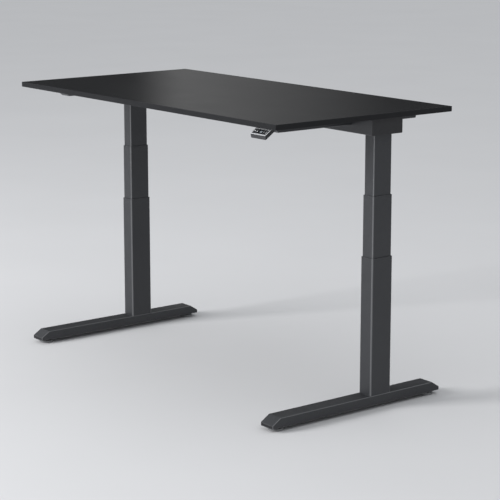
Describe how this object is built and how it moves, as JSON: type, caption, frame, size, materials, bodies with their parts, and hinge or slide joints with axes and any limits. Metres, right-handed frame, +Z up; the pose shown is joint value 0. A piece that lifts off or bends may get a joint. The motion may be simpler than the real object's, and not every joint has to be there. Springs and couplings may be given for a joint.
{
  "type": "height adjustable standing desk",
  "caption": "Electric sit-stand desk with a slim rectangular top, telescopic rectangular columns on sloped box feet, crossbeam and front keypad",
  "frame": {"origin": "on the floor under the middle of the desktop", "axes": "+Z up; -Y towards the person at the desk; +X to that person's right"},
  "size_m": [1.6, 0.8, 1.058],
  "materials": {
    "laminate": "dark graphite laminate on particle board, fine matt texture",
    "edge_band": "graphite edge band, fine texture",
    "frame_coat": "graphite powder coat, satin, fine texture",
    "black_plastic": "moulded, matt",
    "glide_plastic": "moulded, mid grey, matt",
    "black_screws": "black zinc",
    "zinc_steel": "zinc plated",
    "spindle_steel": "rolled, oiled",
    "motor_steel": "drawn and plated",
    "slide_plastic": "natural acetal",
    "nut_bronze": "machined",
    "cast_aluminium": "die cast, fine grain",
    "circuit_board": "solder mask",
    "keypad_plastic": "moulded, matt",
    "bezel_metal": "satin anodised",
    "keypad_face": "semi-gloss",
    "display_window": "gloss, dark",
    "key_plastic": "matt with a raised light mark"
  },
  "bodies": {
    "base": {"left_foot_rail": "frame_coat", "right_foot_rail": "frame_coat", "foot_inserts": "zinc_steel", "foot_end_plugs": "black_plastic", "column_bolts": "zinc_steel", "left_outer_tube": "frame_coat", "right_outer_tube": "frame_coat", "outer_pads": "slide_plastic", "base_plates": "zinc_steel", "fixed_spindles": "spindle_steel"},
    "top": {"desktop_board": "laminate", "edge_band": "edge_band", "crossbeam": "frame_coat", "beam_end_caps": "black_plastic", "left_support_arm": "frame_coat", "right_support_arm": "frame_coat", "arm_bolts": "black_screws", "desktop_screws": "black_screws", "left_inner_tube": "frame_coat", "right_inner_tube": "frame_coat", "inner_pads": "slide_plastic", "lift_nuts": "nut_bronze", "column_plates": "zinc_steel", "gearboxes": "cast_aluminium", "motor_cans": "motor_steel", "motor_end_caps": "black_plastic", "retainer_collars": "cast_aluminium", "gearbox_bolts": "zinc_steel", "control_box": "black_plastic", "control_board": "circuit_board", "mains_inlet": "black_plastic", "keypad_housing": "keypad_plastic", "keypad_bezel": "bezel_metal", "keypad_panel": "keypad_face", "keypad_display": "display_window", "keypad_board": "circuit_board"},
    "left_middle": {"left_middle_tube": "frame_coat", "left_middle_pads": "slide_plastic", "left_bearing_plate": "zinc_steel"},
    "left_spindle": {"left_lift_spindle": "spindle_steel", "left_spindle_bushes": "nut_bronze"},
    "left_drive": {"left_drive_tube": "spindle_steel", "left_worm_wheel": "nut_bronze"},
    "left_motor": {"left_motor_shaft": "spindle_steel"},
    "left_front_foot": {"left_front_glide": "glide_plastic"},
    "left_back_foot": {"left_back_glide": "glide_plastic"},
    "right_middle": {"right_middle_tube": "frame_coat", "right_middle_pads": "slide_plastic", "right_bearing_plate": "zinc_steel"},
    "right_spindle": {"right_lift_spindle": "spindle_steel", "right_spindle_bushes": "nut_bronze"},
    "right_drive": {"right_drive_tube": "spindle_steel", "right_worm_wheel": "nut_bronze"},
    "right_motor": {"right_motor_shaft": "spindle_steel"},
    "right_front_foot": {"right_front_glide": "glide_plastic"},
    "right_back_foot": {"right_back_glide": "glide_plastic"},
    "down_key": {"key_down": "key_plastic"},
    "up_key": {"key_up": "key_plastic"},
    "memory_1_key": {"key_memory_1": "key_plastic"},
    "memory_2_key": {"key_memory_2": "key_plastic"}
  },
  "joints": [
    {"name": "desk_lift", "type": "slide", "parent": "base", "child": "top", "axis": [0, 0, 1], "range_m": [-0.422, 0.228]},
    {"name": "left_middle_slide", "type": "slide", "parent": "base", "child": "left_middle", "axis": [0, 0, 1], "range_m": [-0.212, 0.115]},
    {"name": "left_spindle_turn", "type": "hinge", "parent": "left_middle", "child": "left_spindle", "pos_m": [-0.744, 0.103, 0.289], "axis": [0, 0, 1], "range_deg": [-4760, 2580]},
    {"name": "left_drive_turn", "type": "hinge", "parent": "top", "child": "left_drive", "pos_m": [-0.744, 0.103, 1.006], "axis": [0, 0, 1], "range_deg": [-4760, 2580]},
    {"name": "left_motor_turn", "type": "hinge", "parent": "top", "child": "left_motor", "pos_m": [-0.744, 0.078, 1.006], "axis": [1, 0, 0], "range_deg": [-20540, 38000]},
    {"name": "left_front_level", "type": "slide", "parent": "base", "child": "left_front_foot", "axis": [0, 0, 1], "range_m": [-0.01, 0]},
    {"name": "left_back_level", "type": "slide", "parent": "base", "child": "left_back_foot", "axis": [0, 0, 1], "range_m": [-0.01, 0]},
    {"name": "right_middle_slide", "type": "slide", "parent": "base", "child": "right_middle", "axis": [0, 0, 1], "range_m": [-0.212, 0.115]},
    {"name": "right_spindle_turn", "type": "hinge", "parent": "right_middle", "child": "right_spindle", "pos_m": [0.744, 0.103, 0.289], "axis": [0, 0, 1], "range_deg": [-4760, 2580]},
    {"name": "right_drive_turn", "type": "hinge", "parent": "top", "child": "right_drive", "pos_m": [0.744, 0.103, 1.006], "axis": [0, 0, 1], "range_deg": [-4760, 2580]},
    {"name": "right_motor_turn", "type": "hinge", "parent": "top", "child": "right_motor", "pos_m": [0.744, 0.078, 1.006], "axis": [1, 0, 0], "range_deg": [-20540, 38000]},
    {"name": "right_front_level", "type": "slide", "parent": "base", "child": "right_front_foot", "axis": [0, 0, 1], "range_m": [-0.01, 0]},
    {"name": "right_back_level", "type": "slide", "parent": "base", "child": "right_back_foot", "axis": [0, 0, 1], "range_m": [-0.01, 0]},
    {"name": "down_press", "type": "slide", "parent": "top", "child": "down_key", "axis": [0, 0.5592, -0.829], "range_m": [0, 0.001], "stiffness_N_per_m": 800, "springref_m": -0.0005},
    {"name": "up_press", "type": "slide", "parent": "top", "child": "up_key", "axis": [0, 0.5592, -0.829], "range_m": [0, 0.001], "stiffness_N_per_m": 800, "springref_m": -0.0005},
    {"name": "memory_1_press", "type": "slide", "parent": "top", "child": "memory_1_key", "axis": [0, 0.5592, -0.829], "range_m": [0, 0.001], "stiffness_N_per_m": 800, "springref_m": -0.0005},
    {"name": "memory_2_press", "type": "slide", "parent": "top", "child": "memory_2_key", "axis": [0, 0.5592, -0.829], "range_m": [0, 0.001], "stiffness_N_per_m": 800, "springref_m": -0.0005}
  ],
  "couplings": [
    {"joint": "left_middle_slide", "follows": "desk_lift", "ratio": 0.5},
    {"joint": "left_spindle_turn", "follows": "desk_lift", "rad_per_m": 196.35},
    {"joint": "left_drive_turn", "follows": "desk_lift", "rad_per_m": 196.35},
    {"joint": "left_motor_turn", "follows": "desk_lift", "rad_per_m": -1570.8},
    {"joint": "right_middle_slide", "follows": "desk_lift", "ratio": 0.5},
    {"joint": "right_spindle_turn", "follows": "desk_lift", "rad_per_m": 196.35},
    {"joint": "right_drive_turn", "follows": "desk_lift", "rad_per_m": 196.35},
    {"joint": "right_motor_turn", "follows": "desk_lift", "rad_per_m": -1570.8}
  ]
}
